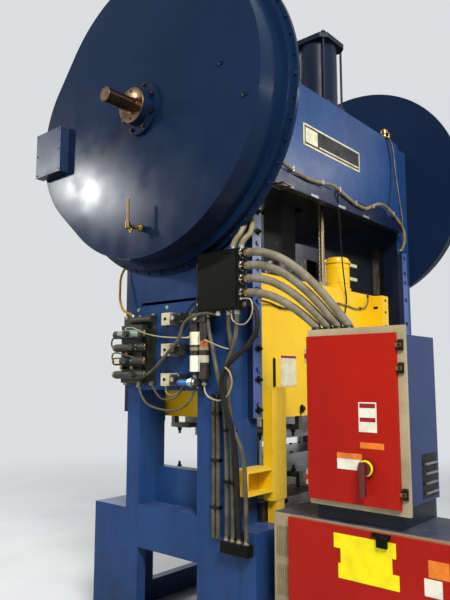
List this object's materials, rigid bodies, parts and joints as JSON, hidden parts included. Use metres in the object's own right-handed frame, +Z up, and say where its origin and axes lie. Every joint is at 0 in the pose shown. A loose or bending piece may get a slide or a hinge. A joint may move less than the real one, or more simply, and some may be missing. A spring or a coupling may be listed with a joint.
{
  "type": "mechanical stamping press",
  "caption": "Straight-side mechanical stamping press with drum-shaped gear guards, a slide over a die set, counterbalance cylinders, a flywheel drive and hinged control cabinets.",
  "frame": {"origin": "on the floor, at the centre of the four anchor bolt holes in the bed's feet", "axes": "+X along the crankshaft towards the flywheel, +Y from the front to the rear, +Z up"},
  "size_m": [3.578, 3.415, 4.2938],
  "materials": {
    "frame_enamel": "gloss enamel",
    "guard_enamel": "gloss enamel",
    "strip_enamel": "satin enamel",
    "slide_enamel": "gloss enamel",
    "door_enamel": "gloss enamel",
    "handle_enamel": "gloss enamel",
    "cabinet_enamel": "satin enamel",
    "box_enamel": "satin enamel",
    "valve_enamel": "satin enamel",
    "clutch_enamel": "satin enamel",
    "machined_steel": "machined",
    "shaft_steel": "machined, with a brown bloom",
    "gear_steel": "cut and oiled",
    "cast_iron": "as cast",
    "gib_iron": "machined",
    "bronze": "machined",
    "gauge_brass": "turned",
    "filter_plastic": "moulded",
    "belt_rubber": "matte",
    "conduit_sheath": "ribbed"
  },
  "bodies": {
    "frame": {"bed": "frame_enamel", "left_upright": "frame_enamel", "right_upright": "frame_enamel", "crown": "frame_enamel", "bolster": "gib_iron", "left_gibs": "gib_iron", "right_gibs": "gib_iron", "left_keepers": "strip_enamel", "right_keepers": "strip_enamel", "main_bushes": "bronze", "left_shaft_bracket": "frame_enamel", "right_shaft_bracket": "frame_enamel", "shaft_bushes": "bronze", "brake_caliper": "cast_iron", "drive_motor": "guard_enamel", "motor_shelf": "frame_enamel", "drive_belts": "belt_rubber", "flywheel_guard": "guard_enamel", "left_gear_guard": "guard_enamel", "right_gear_guard": "guard_enamel", "left_guard_back": "guard_enamel", "right_guard_back": "guard_enamel", "shaft_seal": "guard_enamel", "inspection_cover": "guard_enamel", "oil_gauge": "gauge_brass", "front_balance_cylinder": "guard_enamel", "rear_balance_cylinder": "guard_enamel", "junction_box": "box_enamel", "conduits": "conduit_sheath", "valve_panel": "frame_enamel", "air_valves": "cast_iron", "valve_coils": "valve_enamel", "air_filter": "filter_plastic", "lower_die": "machined_steel", "left_guard_post": "slide_enamel", "right_guard_post": "slide_enamel", "control_cabinet": "cabinet_enamel", "base_cabinet": "cabinet_enamel"},
    "crank": {"crankshaft": "shaft_steel", "left_bull_gear": "gear_steel", "right_bull_gear": "gear_steel"},
    "connection": {"pitman": "cast_iron", "ball_screw": "machined_steel"},
    "countershaft": {"back_shaft": "machined_steel", "left_pinion": "gear_steel", "right_pinion": "gear_steel", "brake_disc": "cast_iron", "clutch": "clutch_enamel"},
    "wheel": {"flywheel": "cast_iron", "flywheel_bearing": "machined_steel"},
    "motor_rotor": {"motor_sheave": "cast_iron"},
    "ram": {"slide": "slide_enamel", "slide_liners": "bronze", "slide_adjust_motor": "slide_enamel", "upper_die": "machined_steel", "front_balance_rod": "machined_steel", "rear_balance_rod": "machined_steel"},
    "upper_door": {"control_door": "door_enamel"},
    "handle": {"disconnect_handle": "handle_enamel"},
    "lower_door": {"base_door": "door_enamel"}
  },
  "joints": [
    {"name": "crank_spin", "type": "hinge", "parent": "frame", "child": "crank", "pos_m": [0, 0, 3.268], "axis": [1, 0, 0], "continuous": true},
    {"name": "pitman_turn", "type": "hinge", "parent": "crank", "child": "connection", "pos_m": [0, 0, 3.318], "axis": [1, 0, 0], "continuous": true},
    {"name": "shaft_spin", "type": "hinge", "parent": "frame", "child": "countershaft", "pos_m": [0, 0.885, 3.268], "axis": [1, 0, 0], "continuous": true},
    {"name": "flywheel_spin", "type": "hinge", "parent": "frame", "child": "wheel", "pos_m": [0, 0.885, 3.268], "axis": [1, 0, 0], "continuous": true},
    {"name": "motor_spin", "type": "hinge", "parent": "frame", "child": "motor_rotor", "pos_m": [0, 0.885, 2.24], "axis": [1, 0, 0], "continuous": true},
    {"name": "slide_travel", "type": "slide", "parent": "frame", "child": "ram", "axis": [0, 0, -1], "range_m": [0, 0.1]},
    {"name": "upper_door_hinge", "type": "hinge", "parent": "frame", "child": "upper_door", "pos_m": [-1.229, -1.04, 1.4005], "axis": [0, 0, -1], "range_deg": [0, 110]},
    {"name": "handle_turn", "type": "hinge", "parent": "upper_door", "child": "handle", "pos_m": [-1.236, -1.377, 1.171], "axis": [-1, 0, 0], "range_deg": [0, 90]},
    {"name": "lower_door_hinge", "type": "hinge", "parent": "frame", "child": "lower_door", "pos_m": [-1.229, -1.402, 0.03], "axis": [0, -1, 0], "range_deg": [0, 90]}
  ],
  "couplings": [
    {"joint": "pitman_turn", "follows": "crank_spin", "ratio": -1},
    {"joint": "shaft_spin", "follows": "crank_spin", "ratio": -5.5556},
    {"joint": "motor_spin", "follows": "flywheel_spin", "ratio": 5.4204}
  ]
}
